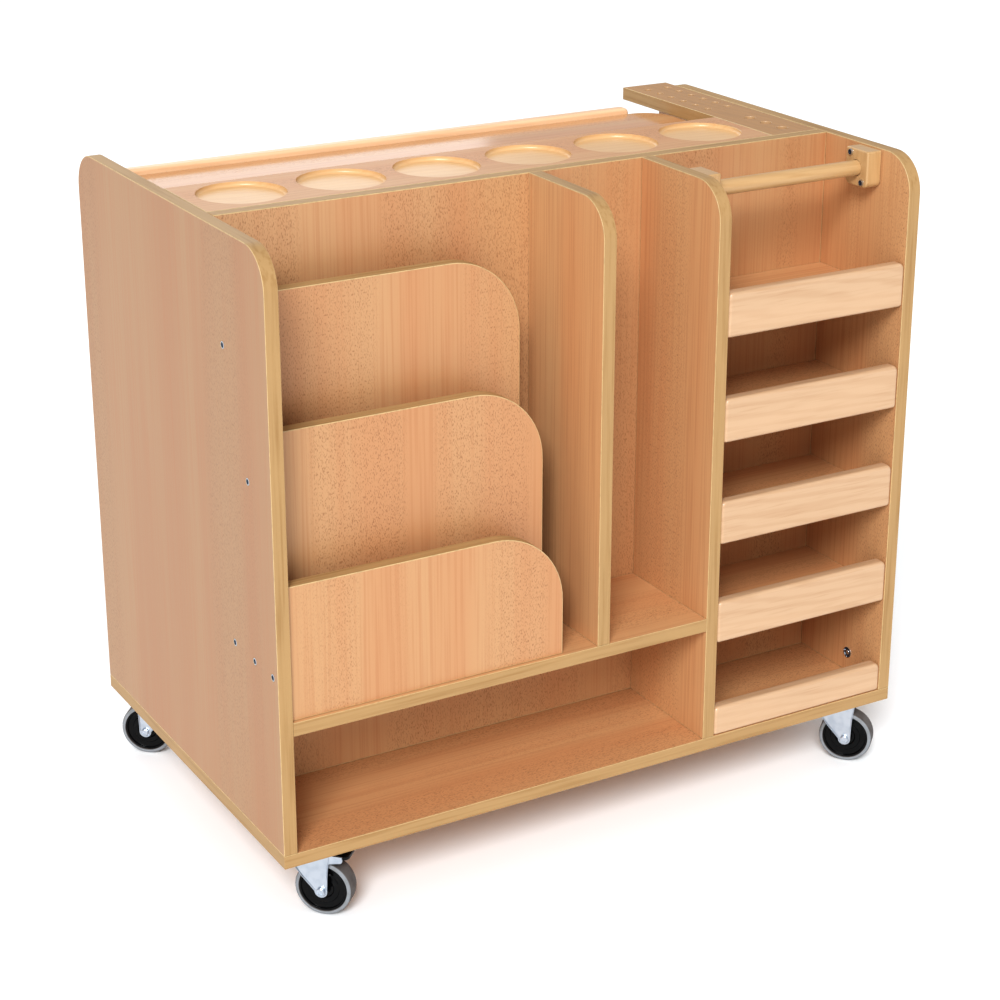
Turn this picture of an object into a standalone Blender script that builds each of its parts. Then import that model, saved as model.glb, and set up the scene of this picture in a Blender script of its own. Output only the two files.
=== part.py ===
"""Book cart: a double-sided beech cart on four swivel casters.

The front has three stepped book panels, a tall bay and a column of trays under a paper-roll bar.
The top carries a board with six paint-pot recesses and a perforated tool block.
The frame is +X along the front, -Y out of the front, +Z up, with the origin on the floor below the middle.
"""

import math

import bmesh
import bpy
from mathutils import Vector

# Driving dimensions, in metres.
WIDTH = 0.940
DEPTH = 0.590
BODY_HEIGHT = 0.784
CASTER_HEIGHT = 0.096
BOARD = 0.018
GAP = 0.0003
EDGE_ROUND = 0.0012
PANEL_CORNER = 0.050
ARC_STEPS = 10

MID_BACK_FRONT = -0.115
BOOK_DIVIDER_X = -0.010
TRAY_DIVIDER_X = 0.1605
BOOK_SHELF_TOP = 0.196

DISPLAY_END_X = -0.069
DISPLAY_CORNER = 0.100
DISPLAY_PANELS = {"front": (-0.280, 0.372), "middle": (-0.228, 0.547), "rear": (-0.1695, 0.701)}

TRAY_COUNT = 4
TRAY_FIRST = 0.156
TRAY_PITCH = 0.1422
LIP_RISE = 0.042
LIP_ROUND = 0.005

CUP_BOARD_BACK = 0.038
CUP_FIRST_X = -0.377
CUP_PITCH = 0.1359
CUP_COUNT = 6
CUP_Y = -0.029
CUP_RADIUS = 0.0566
CUP_DEPTH = 0.006

TOOL_BLOCK_X = (0.3745, 0.4505)
TOOL_BLOCK_BACK = 0.276
TOOL_ROWS_X = (0.3965, 0.4310)
TOOL_FIRST_Y = 0.0885
TOOL_PITCH = 0.0307
TOOL_HOLES = 6
TOOL_RADIUS = 0.005
BRUSH_X = 0.414
BRUSH_Y = (-0.064, -0.027, 0.010)
BRUSH_RADIUS = 0.008
TOOL_DEPTH = 0.013

TOP_BOARD_BACK = 0.188
TOP_BOARD_CORNER = 0.045
REAR_LIP_END_X = 0.329
REAR_LIP_RISE = 0.0085
REAR_LIP_HEIGHT = 0.044
REAR_SHELF_TOP = 0.400
REAR_SET_BACK = 0.012

BRACKET_SIZE = (0.024, 0.046, 0.050)
BRACKET_Y = -0.212
BRACKET_DROP = 0.002
BRACKET_ROUND = 0.006
BAR_RADIUS = 0.0105
BAR_DROP = 0.027
BAR_SEAT = 0.012
BAR_CLEARANCE = 0.0005

SCREW_RADIUS = 0.0045
SCREW_HEAD = 0.0014
POCKET_RADIUS = 0.0050
POCKET_DEPTH = 0.0018
SIDE_SCREWS = {
    "front": (-0.280, 0.255),
    "middle_lower": (-0.228, 0.255),
    "rear_lower": (-0.1695, 0.257),
    "middle_upper": (-0.228, 0.489),
    "rear_upper": (-0.1695, 0.642),
}
BRACKET_SCREW_OFFSETS = ((0.0125, 0.019), (-0.0125, -0.018))

CASTER_X = 0.413
CASTER_Y = 0.246
CASTER_HEADINGS = {"front_left": 315, "front_right": 313, "rear_left": 140, "rear_right": 215}
PLATE_SIZE = 0.060
PLATE_THICKNESS = 0.003
TRAIL = 0.020
WHEEL_RADIUS = 0.0375
WHEEL_WIDTH = 0.026
HUB_RADIUS = 0.0315
FORK_WIDTH = 0.040
FORK_SHEET = 0.0025
FORK_CAP_RADIUS = 0.028
FORK_CAP_DEPTH = 0.008
AXLE_RADIUS = 0.004
BOLT_RADIUS = 0.0065
WHEEL_SIDES = 24
BRAKED = ("front_left", "rear_right")
EAR_END = 0.049
EAR_HEIGHT = 0.009
LEVER_START = 0.031
LEVER_END = 0.056
LEVER_THICKNESS = 0.0045
LEVER_DROP = 0.0062

# Heights below are above the floor, worked out from the ones above.
BASE_BOTTOM = CASTER_HEIGHT
BASE_TOP = BASE_BOTTOM + BOARD
TOP = BASE_BOTTOM + BODY_HEIGHT
FRONT = -DEPTH / 2
BACK = DEPTH / 2
LEFT = -WIDTH / 2
RIGHT = WIDTH / 2
INNER_LEFT = LEFT + BOARD + GAP
INNER_RIGHT = RIGHT - BOARD - GAP
MID_BACK_BACK = MID_BACK_FRONT + BOARD
SHELF_TOP = BASE_BOTTOM + BOOK_SHELF_TOP
TRAY_LEFT = TRAY_DIVIDER_X + BOARD / 2 + GAP
TOP_BOARD_TOP = TOP - BOARD - GAP
WHEEL_AXIS = WHEEL_RADIUS
BAR_Z = TOP - BAR_DROP

COLOURS = {
    "beech_laminate": ((0.62, 0.36, 0.19), 0.42, 0.0),
    "solid_beech": ((0.80, 0.56, 0.32), 0.45, 0.0),
    "tool_wood": ((0.49, 0.27, 0.11), 0.45, 0.0),
    "zinc": ((0.72, 0.75, 0.80), 0.30, 1.0),
    "black_plastic": ((0.012, 0.012, 0.013), 0.22, 0.0),
    "grey_rubber": ((0.30, 0.31, 0.33), 0.60, 0.0),
}


def clear_scene():
    for obj in list(bpy.data.objects):
        bpy.data.objects.remove(obj, do_unlink=True)


def new_collection(name):
    collection = bpy.data.collections.new(name)
    bpy.context.scene.collection.children.link(collection)
    return collection


def material(name):
    """One Principled material for each finish, made the first time that it is asked for."""
    found = bpy.data.materials.get(name)
    if found:
        return found
    colour, roughness, metallic = COLOURS[name]
    made = bpy.data.materials.new(name)
    made.use_nodes = True
    shader = made.node_tree.nodes["Principled BSDF"]
    shader.inputs["Base Color"].default_value = (*colour, 1)
    shader.inputs["Roughness"].default_value = roughness
    shader.inputs["Metallic"].default_value = metallic
    made.diffuse_color = (*colour, 1)
    return made


def finish(name, bm, finish_name, collection=None):
    """Turns a bmesh into a named object of one material."""
    mesh = bpy.data.meshes.new(name)
    bm.normal_update()
    bm.to_mesh(mesh)
    bm.free()
    obj = bpy.data.objects.new(name, mesh)
    (collection or CART).objects.link(obj)
    mesh.materials.append(material(finish_name))
    return obj


def smooth(obj, degrees=35):
    obj.data.shade_smooth()
    obj.data.set_sharp_from_angle(angle=math.radians(degrees))


def box_mesh(low, high):
    """A bmesh cuboid between two corners."""
    bm = bmesh.new()
    bmesh.ops.create_cube(bm, size=1)
    size = Vector(high) - Vector(low)
    middle = (Vector(high) + Vector(low)) / 2
    bmesh.ops.scale(bm, vec=size, verts=bm.verts)
    bmesh.ops.translate(bm, vec=middle, verts=bm.verts)
    return bm


def edges_at(bm, along, **places):
    """The edges that run along one axis and lie at the given coordinates."""
    axes = {"x": 0, "y": 1, "z": 2}
    found = []
    for edge in bm.edges:
        run = edge.verts[1].co - edge.verts[0].co
        if abs(run[axes[along]]) < 0.9 * run.length:
            continue
        if all(abs(v.co[axes[a]] - at) < 1e-5 for v in edge.verts for a, at in places.items()):
            found.append(edge)
    return found


def round_edges(bm, edges, radius, steps=ARC_STEPS):
    bmesh.ops.bevel(bm, geom=edges, offset=radius, segments=steps, profile=0.5, affect="EDGES")


def soften(obj, width=EDGE_ROUND, steps=1):
    """A small Bevel on every sharp edge of a board."""
    bevel = obj.modifiers.new("Soft edges", "BEVEL")
    bevel.width = width
    bevel.segments = steps
    bevel.limit_method = "ANGLE"
    bevel.angle_limit = math.radians(40)
    return obj


def board(name, low, high, rounds=(), finish_name="beech_laminate"):
    """A board between two corners. Each round is (radius, axis along the edge, places of the edge)."""
    bm = box_mesh(low, high)
    for radius, along, places in rounds:
        round_edges(bm, edges_at(bm, along, **places), radius)
    obj = soften(finish(name, bm, finish_name))
    smooth(obj)
    return obj


def cylinder(name, radius, length, finish_name, sides=24, collection=None):
    """A closed cylinder along Z about the origin."""
    bm = bmesh.new()
    bmesh.ops.create_cone(
        bm, cap_ends=True, segments=sides, radius1=radius, radius2=radius, depth=length
    )
    obj = finish(name, bm, finish_name, collection)
    smooth(obj)
    return obj


def turned(name, profile, finish_name, sides=WHEEL_SIDES):
    """A profile of (radius, height) points, run down the outer side and spun about Z by a Screw."""
    mesh = bpy.data.meshes.new(name)
    points = [(radius, 0, height) for radius, height in profile]
    edges = [(i, i + 1) for i in range(len(points) - 1)]
    if profile[0] != profile[-1] and profile[0][0] > 0:
        edges.append((len(points) - 1, 0))
    mesh.from_pydata(points, edges, [])
    mesh.materials.append(material(finish_name))
    obj = bpy.data.objects.new(name, mesh)
    CART.objects.link(obj)
    screw = obj.modifiers.new("Turn", "SCREW")
    screw.steps = screw.render_steps = sides
    screw.use_merge_vertices = True
    screw.merge_threshold = 0.00005
    screw.use_smooth_shade = True
    return obj


def screw_pocket(name, y, z):
    """The round pocket in the left side panel that a screw head sits in."""
    obj = cylinder(
        "pocket_cutter_" + name, POCKET_RADIUS, 2 * POCKET_DEPTH, "beech_laminate", 16, CUTTERS
    )
    obj.rotation_euler = (0, math.radians(90), 0)
    obj.location = (LEFT, y, BASE_BOTTOM + z)
    return obj


def cut(obj, cutters):
    """Boolean differences that stay live. Each cutter is hidden from the render."""
    for cutter in cutters:
        cutter.hide_render = True
        cutter.display_type = "WIRE"
        boolean = obj.modifiers.new("Cut " + cutter.name, "BOOLEAN")
        boolean.operation = "DIFFERENCE"
        boolean.object = cutter


def build_case():
    """Base, side panels, dividers and the panel between the two sides of the cart."""
    board("base_panel", (LEFT, FRONT, BASE_BOTTOM), (RIGHT, BACK, BASE_TOP))
    low = BASE_TOP + GAP
    for name, x in (("left_side_panel", LEFT), ("right_side_panel", RIGHT - BOARD)):
        corners = [(PANEL_CORNER, "x", {"y": y, "z": TOP}) for y in (FRONT, BACK)]
        panel = board(name, (x, FRONT, low), (x + BOARD, BACK, TOP), corners)
        if x == LEFT:
            cut(panel, [screw_pocket(screw, *place) for screw, place in SIDE_SCREWS.items()])
    board(
        "mid_back_panel",
        (INNER_LEFT, MID_BACK_FRONT, low),
        (INNER_RIGHT, MID_BACK_BACK, TOP),
    )
    behind = MID_BACK_FRONT - GAP
    corner = [(PANEL_CORNER, "x", {"y": FRONT, "z": TOP})]
    for name, x, bottom in (
        ("book_divider", BOOK_DIVIDER_X, SHELF_TOP + GAP),
        ("tray_divider", TRAY_DIVIDER_X, low),
    ):
        board(name, (x - BOARD / 2, FRONT, bottom), (x + BOARD / 2, behind, TOP), corner)
    board(
        "book_shelf",
        (INNER_LEFT, FRONT, SHELF_TOP - BOARD),
        (TRAY_DIVIDER_X - BOARD / 2 - GAP, behind, SHELF_TOP),
    )


def build_display_panels():
    """Three upright panels, each taller than the one in front, held by the left side only."""
    for name, (y, top) in DISPLAY_PANELS.items():
        high = BASE_BOTTOM + top
        board(
            "display_panel_" + name,
            (INNER_LEFT, y - BOARD / 2, SHELF_TOP + GAP),
            (DISPLAY_END_X, y + BOARD / 2, high),
            [(DISPLAY_CORNER, "y", {"x": DISPLAY_END_X, "z": high})],
        )


def lip(name, x_ends, y_front, z_ends):
    """A solid wood strip on the edge of a shelf, with its top long edges rounded."""
    low = (x_ends[0], y_front, z_ends[0])
    high = (x_ends[1], y_front + BOARD, z_ends[1])
    bm = box_mesh(low, high)
    ends = [e for x in x_ends for e in edges_at(bm, "y", x=x, z=z_ends[1])]
    round_edges(bm, ends, LIP_ROUND, 3)
    obj = soften(finish(name, bm, "solid_beech"), 0.003, 2)
    smooth(obj)
    return obj


def build_trays():
    """The column of tray shelves, each with a lip, and a lip on the base below them."""
    ends = (TRAY_LEFT, INNER_RIGHT)
    for level in range(TRAY_COUNT):
        bottom = BASE_BOTTOM + TRAY_FIRST + level * TRAY_PITCH
        floor = bottom + BOARD
        board(
            f"tray_shelf_{level + 1}",
            (ends[0], FRONT + BOARD + GAP, bottom),
            (ends[1], MID_BACK_FRONT - GAP, floor),
        )
        lip(f"tray_lip_{level + 1}", ends, FRONT, (bottom, floor + LIP_RISE))
    lip("base_lip", ends, FRONT, (BASE_TOP + GAP, BASE_TOP + LIP_RISE))


def round_cutter(name, x, y, top, radius, depth, sides):
    """A cylinder that cuts a blind hole of this depth from a top face."""
    over = 0.005
    obj = cylinder(name, radius, depth + over, "solid_beech", sides, CUTTERS)
    obj.location = (x, y, top - depth / 2 + over / 2)
    return obj


def build_cup_board():
    """The top board with one shallow recess for each paint pot."""
    obj = board(
        "cup_board",
        (INNER_LEFT, MID_BACK_BACK + GAP, TOP - BOARD),
        (TOOL_BLOCK_X[0] - GAP, CUP_BOARD_BACK, TOP),
    )
    places = [CUP_FIRST_X + i * CUP_PITCH for i in range(CUP_COUNT)]
    cut(
        obj,
        [
            round_cutter(f"cup_cutter_{i}", x, CUP_Y, TOP, CUP_RADIUS, CUP_DEPTH, 32)
            for i, x in enumerate(places)
        ],
    )


def build_tool_block():
    """The perforated block: two rows of small holes for tools and three larger ones for brushes."""
    obj = board(
        "tool_block",
        (TOOL_BLOCK_X[0], MID_BACK_BACK + GAP, TOP - BOARD),
        (TOOL_BLOCK_X[1], TOOL_BLOCK_BACK, TOP),
        finish_name="tool_wood",
    )
    holes = [
        (x, TOOL_FIRST_Y + i * TOOL_PITCH, TOOL_RADIUS)
        for x in TOOL_ROWS_X
        for i in range(TOOL_HOLES)
    ]
    holes += [(BRUSH_X, y, BRUSH_RADIUS) for y in BRUSH_Y]
    cut(
        obj,
        [
            round_cutter(f"tool_cutter_{i}", x, y, TOP, radius, TOOL_DEPTH, 12)
            for i, (x, y, radius) in enumerate(holes)
        ],
    )


def build_rear():
    """The lower top board behind the cup board with its lip, and the shelves of the rear side."""
    board(
        "rear_top_board",
        (INNER_LEFT, MID_BACK_BACK + GAP, TOP_BOARD_TOP - BOARD),
        (TOOL_BLOCK_X[0], TOP_BOARD_BACK, TOP_BOARD_TOP),
        [(TOP_BOARD_CORNER, "z", {"x": TOOL_BLOCK_X[0], "y": TOP_BOARD_BACK})],
    )
    lip_top = TOP_BOARD_TOP + REAR_LIP_RISE
    lip(
        "rear_lip",
        (INNER_LEFT, REAR_LIP_END_X),
        TOP_BOARD_BACK + GAP,
        (lip_top - REAR_LIP_HEIGHT, lip_top),
    )
    middle = 0.0
    shelf_top = BASE_BOTTOM + REAR_SHELF_TOP
    board(
        "rear_divider",
        (middle - BOARD / 2, MID_BACK_BACK + GAP, BASE_TOP + GAP),
        (middle + BOARD / 2, BACK - REAR_SET_BACK, shelf_top - BOARD - GAP),
    )
    board(
        "rear_shelf",
        (INNER_LEFT, MID_BACK_BACK + GAP, shelf_top - BOARD),
        (INNER_RIGHT, BACK - REAR_SET_BACK, shelf_top),
    )


def build_roll_bar():
    """The paper-roll bar and the two solid blocks that it turns in."""
    width, depth, height = BRACKET_SIZE
    top = TOP - BRACKET_DROP
    faces = {"left": TRAY_LEFT, "right": INNER_RIGHT - width}
    for side, x in faces.items():
        low = (x, BRACKET_Y - depth / 2, top - height)
        high = (x + width, BRACKET_Y + depth / 2, top)
        bm = box_mesh(low, high)
        round_edges(bm, edges_at(bm, "x", z=low[2]), BRACKET_ROUND * 1.5, 4)
        bracket = soften(finish("roll_bracket_" + side, bm, "solid_beech"), 0.002, 2)
        smooth(bracket)
        inward = x + width if side == "left" else x
        seat = cylinder(
            "seat_cutter_" + side, BAR_RADIUS + BAR_CLEARANCE, 2 * BAR_SEAT, "solid_beech", 24, CUTTERS
        )
        seat.rotation_euler = (0, math.radians(90), 0)
        seat.location = (inward, BRACKET_Y, BAR_Z)
        cut(bracket, [seat])
        add_bracket_screws(side, inward, 1 if side == "left" else -1)
    end = BAR_SEAT - BAR_CLEARANCE
    ends = (faces["left"] + width - end, faces["right"] + end)
    bar = cylinder("roll_bar", BAR_RADIUS, ends[1] - ends[0], "solid_beech", 24)
    bar.rotation_euler = (0, math.radians(90), 0)
    bar.location = (sum(ends) / 2, BRACKET_Y, BAR_Z)
    soften(bar, 0.001)


def screw(name, place, direction):
    """A screw head that sits on a face."""
    sunk = SCREW_HEAD / 3
    profile = [
        (0, SCREW_HEAD),
        (SCREW_RADIUS * 0.55, SCREW_HEAD),
        (SCREW_RADIUS, sunk),
        (SCREW_RADIUS, 0),
        (0, 0),
    ]
    obj = turned(name, profile, "zinc", 16)
    obj.location = Vector(place) + Vector(direction) * GAP
    obj.rotation_mode = "QUATERNION"
    obj.rotation_quaternion = Vector(direction).to_track_quat("Z", "Y")
    return obj


def add_bracket_screws(side, x, direction):
    for number, (dy, dz) in enumerate(BRACKET_SCREW_OFFSETS):
        place = (x, BRACKET_Y + dy, BAR_Z + dz)
        screw(f"bracket_screw_{side}_{number + 1}", place, (direction, 0, 0))


def build_side_screws():
    """The screws through the left side that hold the book panels, each sunk in its pocket."""
    for name, (y, z) in SIDE_SCREWS.items():
        screw("side_screw_" + name, (LEFT + POCKET_DEPTH, y, BASE_BOTTOM + z), (-1, 0, 0))


def tyre_profile():
    """The closed section of the tyre, from its top corner down the tread and up the bore."""
    half = WHEEL_WIDTH / 2
    tread = WHEEL_RADIUS
    shoulder = 0.0035
    bore = HUB_RADIUS + GAP
    return [
        (bore, half - 0.001),
        (tread - shoulder, half),
        (tread, half - shoulder),
        (tread, shoulder - half),
        (tread - shoulder, -half),
        (bore, 0.001 - half),
    ]


def hub_profile():
    """The closed section of the hub, from the axle's bore over the rim to the bore again."""
    half = WHEEL_WIDTH / 2 - 0.001
    bore = AXLE_RADIUS + GAP
    return [(bore, half), (HUB_RADIUS, half), (HUB_RADIUS, -half), (bore, -half)]


def lay_on_axle(obj, parent):
    """Turns a piece made about Z so that its axis lies on the wheel's axle."""
    obj.parent = parent
    obj.rotation_euler = (math.radians(90), 0, 0)
    return obj


def fork_leg(bm, side, sheet, braked):
    """One tapering leg from the swivel cap to the axle, with an ear for the brake lever if it has one."""
    foot = 0.0085
    back = -FORK_CAP_RADIUS * 0.75
    top = CASTER_HEIGHT - PLATE_THICKNESS - GAP - sheet
    y = side * (FORK_WIDTH / 2 - sheet)
    angles = [math.radians(a) for a in range(220, 361, 20)]
    outline = [(back, top), (back, top - FORK_CAP_DEPTH)]
    outline += [(TRAIL + foot * math.cos(a), WHEEL_AXIS + foot * math.sin(a)) for a in angles]
    outline += [(TRAIL + foot, top - 2 * EAR_HEIGHT)]
    end = EAR_END if braked else TRAIL + foot + EAR_HEIGHT / 2
    outline += [(TRAIL + foot + EAR_HEIGHT / 2, top - EAR_HEIGHT)]
    outline += [(end, top - EAR_HEIGHT)] if braked else []
    outline += [(end, top)]
    points = [bm.verts.new((x, y, z)) for x, z in outline]
    face = bm.faces.new(points)
    grown = bmesh.ops.extrude_face_region(bm, geom=[face])
    moved = [v for v in grown["geom"] if isinstance(v, bmesh.types.BMVert)]
    bmesh.ops.translate(bm, vec=(0, side * sheet, 0), verts=moved)


def fork_piece(name, fill):
    """A helper solid for the fork's union."""
    bm = bmesh.new()
    fill(bm)
    bmesh.ops.recalc_face_normals(bm, faces=bm.faces)
    return finish(name, bm, "zinc", CUTTERS)


def build_fork(name, parent, braked):
    """The pressed fork: a round swivel cap joined to two legs, with the axle's hole through both."""
    sheet = FORK_SHEET
    top = CASTER_HEIGHT - PLATE_THICKNESS - GAP
    cap = cylinder(name, FORK_CAP_RADIUS, FORK_CAP_DEPTH, "zinc", WHEEL_SIDES)
    cap.location = (0, 0, top - FORK_CAP_DEPTH / 2)
    cap.parent = parent
    for side in (-1, 1):
        leg = fork_piece(f"{name}_leg_{side}", lambda bm, s=side: fork_leg(bm, s, sheet, braked))
        leg.parent = parent
        leg.hide_render = True
        leg.display_type = "WIRE"
        union = cap.modifiers.new("Leg", "BOOLEAN")
        union.operation = "UNION"
        union.object = leg
    bore = cylinder(name + "_bore", AXLE_RADIUS + GAP, 2 * FORK_WIDTH, "zinc", 16, CUTTERS)
    bore.location = (TRAIL, 0, WHEEL_AXIS)
    lay_on_axle(bore, parent)
    cut(cap, [bore])
    return cap


def build_axle(name, parent):
    """The axle bolt with a head outside each leg of the fork."""
    out = FORK_WIDTH / 2 + GAP
    head = 0.0035
    profile = [
        (0, out + head),
        (BOLT_RADIUS * 0.8, out + head),
        (BOLT_RADIUS, out + head * 0.6),
        (BOLT_RADIUS, out),
        (AXLE_RADIUS, out),
        (AXLE_RADIUS, -out),
        (BOLT_RADIUS, -out),
        (BOLT_RADIUS, -out - head * 0.6),
        (BOLT_RADIUS * 0.8, -out - head),
        (0, -out - head),
    ]
    return lay_on_axle(turned(name, profile, "zinc", 16), parent)


def empty(name, place, turn=0.0, parent=None):
    obj = bpy.data.objects.new(name, None)
    obj.location = place
    obj.rotation_euler = (0, 0, turn)
    obj.parent = parent
    CART.objects.link(obj)
    return obj


def build_brake(name, parent):
    """The foot lever between the fork's ears, above the wheel, with its origin on its hinge."""
    half_width = FORK_WIDTH / 2 - FORK_SHEET - 2 * GAP
    hinge_z = CASTER_HEIGHT - PLATE_THICKNESS - LEVER_DROP
    hinge = empty(name + "_axis", (LEVER_START, 0, hinge_z), 0, parent)
    low = (-LEVER_THICKNESS / 2, -half_width, -LEVER_THICKNESS / 2)
    high = (LEVER_END - LEVER_START, half_width, LEVER_THICKNESS / 2)
    bm = box_mesh(low, high)
    round_edges(bm, edges_at(bm, "z", x=high[0]), half_width * 0.5, 4)
    obj = soften(finish(name, bm, "black_plastic"), 0.001)
    smooth(obj)
    obj.parent = hinge


def build_caster(place, x, y, heading):
    """One swivel caster: plate, fork, axle, hub and tyre, turned to its heading."""
    name = "caster_" + place
    plate_low = CASTER_HEIGHT - PLATE_THICKNESS
    half = PLATE_SIZE / 2
    bm = box_mesh((x - half, y - half, plate_low), (x + half, y + half, CASTER_HEIGHT - GAP))
    round_edges(bm, edges_at(bm, "z"), 0.006, 4)
    smooth(finish(name + "_plate", bm, "zinc"))
    swivel = empty(name + "_swivel_axis", (x, y, 0), math.radians(heading))
    build_fork(name + "_fork", swivel, place in BRAKED)
    axis = empty(name + "_wheel_axis", (TRAIL, 0, WHEEL_AXIS), 0, swivel)
    build_axle(name + "_axle", axis)
    lay_on_axle(turned(name + "_hub", hub_profile(), "black_plastic"), axis)
    lay_on_axle(turned(name + "_tyre", tyre_profile(), "grey_rubber"), axis)
    if place in BRAKED:
        build_brake(name + "_brake", swivel)


def build_casters():
    signs = {
        "front_left": (-1, -1),
        "front_right": (1, -1),
        "rear_left": (-1, 1),
        "rear_right": (1, 1),
    }
    for place, (sx, sy) in signs.items():
        build_caster(place, sx * CASTER_X, sy * CASTER_Y, CASTER_HEADINGS[place])


clear_scene()
CART = new_collection("book_cart")
CUTTERS = new_collection("cutters")
build_case()
build_display_panels()
build_trays()
build_cup_board()
build_tool_block()
build_rear()
build_roll_bar()
build_side_screws()
build_casters()
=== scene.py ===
# %% [markdown]
# # A book cart, finished in Blender
# The cart's real shape and size come from its CAD model, which is loaded first as a fixed frame.
# Blender then adds the finish: edge-banded boards, solid wood lips, turned wheels and the light.
# Each finished piece takes its place from the CAD node that it stands for, so nothing is fitted by
# eye.

# %% Load the frame
import math

import bmesh
import bpy
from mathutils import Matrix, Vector


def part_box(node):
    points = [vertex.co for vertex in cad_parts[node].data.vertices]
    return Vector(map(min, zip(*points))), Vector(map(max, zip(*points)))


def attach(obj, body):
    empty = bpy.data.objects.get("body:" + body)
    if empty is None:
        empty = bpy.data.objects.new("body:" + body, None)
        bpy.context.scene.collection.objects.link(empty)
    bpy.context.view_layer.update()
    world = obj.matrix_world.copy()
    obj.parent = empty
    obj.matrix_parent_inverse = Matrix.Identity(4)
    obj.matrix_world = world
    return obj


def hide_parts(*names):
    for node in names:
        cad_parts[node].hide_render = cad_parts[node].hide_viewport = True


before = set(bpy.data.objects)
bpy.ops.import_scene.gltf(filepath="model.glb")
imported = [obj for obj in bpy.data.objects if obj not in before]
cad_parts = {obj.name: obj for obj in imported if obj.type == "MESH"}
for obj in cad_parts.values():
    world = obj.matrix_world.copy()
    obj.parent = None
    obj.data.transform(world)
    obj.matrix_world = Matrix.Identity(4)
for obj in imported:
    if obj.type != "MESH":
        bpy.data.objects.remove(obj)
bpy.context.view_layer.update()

# %% [markdown]
# ## The camera
# The camera stands in front of the cart, a little to its left, and looks down at it.
# A long lens keeps the uprights almost parallel, as in a catalogue.
# The small shift keeps the cart in the middle of the picture without tilting the camera further.

# %% Camera
CAMERA_PLACE = Vector((-1.481, -2.578, 1.568))
CAMERA_TURN = math.radians(29.96)
CAMERA_DOWN = math.radians(20.36)
CAMERA_LENS, CAMERA_SENSOR = 83.2, 36
CAMERA_SHIFT = -0.05

bpy.ops.object.select_all(action="DESELECT")
bpy.ops.object.camera_add(
    location=CAMERA_PLACE, rotation=(math.radians(90) - CAMERA_DOWN, 0, -CAMERA_TURN)
)
camera = bpy.context.object
camera.name = "camera"
camera.data.lens = CAMERA_LENS
camera.data.sensor_width = CAMERA_SENSOR
camera.data.shift_y = CAMERA_SHIFT
camera.data.clip_start, camera.data.clip_end = 0.05, 60
bpy.context.scene.camera = camera
print("camera at", tuple(camera.location), "with a lens of", camera.data.lens)

# %% [markdown]
# ## Light and floor
# A wide, soft sun on the left and front gives the main light, so that the floor is lit evenly.
# Three softboxes reach into the bays and give the glossy parts something to reflect, and a pale
# sky fills the shadows. The floor is a plain pale sheet, and it isn't part of the cart.


# %% Floor, sky and lamps
FLOOR_SIZE, FLOOR_BELOW = 40, 0.0005
FLOOR_COLOUR = (0.95, 0.95, 0.95)
SKY_COLOUR, SKY_STRENGTH = (0.94, 0.97, 1.0), 0.50
SUN_SIDE = math.radians(38)
SUN_HEIGHT = math.radians(38)
SUN_WIDTH = math.radians(22)
SUN_COLOUR, SUN_POWER = (0.95, 0.98, 1.0), 2.8
LAMP_AIM = Vector((0, 0, 0.45))


def plain_floor_finish():
    """A pale matt paint for the studio's floor."""
    finish = bpy.data.materials.new("studio_floor")
    finish.use_nodes = True
    shader = finish.node_tree.nodes["Principled BSDF"]
    shader.inputs["Base Color"].default_value = (*FLOOR_COLOUR, 1)
    shader.inputs["Roughness"].default_value = 0.9
    shader.inputs["Specular IOR Level"].default_value = 0.1
    return finish


bpy.ops.object.select_all(action="DESELECT")
bpy.ops.mesh.primitive_plane_add(size=FLOOR_SIZE, location=(0, 0, -FLOOR_BELOW))
floor = bpy.context.object
floor.name = "studio_floor"
floor.data.materials.append(plain_floor_finish())

world = bpy.data.worlds.new("studio_sky")
world.use_nodes = True
background = world.node_tree.nodes["Background"]
background.inputs["Color"].default_value = (*SKY_COLOUR, 1)
background.inputs["Strength"].default_value = SKY_STRENGTH
bpy.context.scene.world = world
bpy.context.scene.view_settings.view_transform = "Standard"
bpy.context.scene.view_settings.look = "Medium High Contrast"


def softbox(name, place, size, power):
    """A square lamp that faces the cart."""
    bpy.ops.object.select_all(action="DESELECT")
    bpy.ops.object.light_add(type="AREA", location=place)
    lamp = bpy.context.object
    lamp.name = name
    lamp.data.energy = power
    lamp.data.size = size
    lamp.rotation_euler = (LAMP_AIM - Vector(place)).to_track_quat("-Z", "Y").to_euler()


bpy.ops.object.select_all(action="DESELECT")
bpy.ops.object.light_add(type="SUN", rotation=(math.radians(90) - SUN_HEIGHT, 0, -SUN_SIDE))
sun = bpy.context.object
sun.name = "soft_sun"
sun.data.energy = SUN_POWER
sun.data.color = SUN_COLOUR
sun.data.angle = SUN_WIDTH
softbox("left_softbox", (-3.2, -2.4, 1.6), 1.6, 5)
softbox("front_softbox", (-1.4, -3.3, 1.0), 2.0, 15)
softbox("back_softbox", (0.6, 3.2, 2.4), 2.5, 18)

# %% [markdown]
# ## A small kit for node materials
# Every finish below is made of a few texture nodes that read Object coordinates, in metres.
# One helper adds a node and joins its inputs, so each finish reads as a short recipe.


# %% Helpers for finishes
def node(tree, kind, inputs=None, **settings):
    """Adds a shader node. An input may be a number, a colour or another node's output."""
    made = tree.nodes.new("ShaderNode" + kind)
    for key, value in settings.items():
        setattr(made, key, value)
    for key, value in (inputs or {}).items():
        if isinstance(value, bpy.types.NodeSocket):
            tree.links.new(value, made.inputs[key])
        else:
            made.inputs[key].default_value = value
    return made


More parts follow.
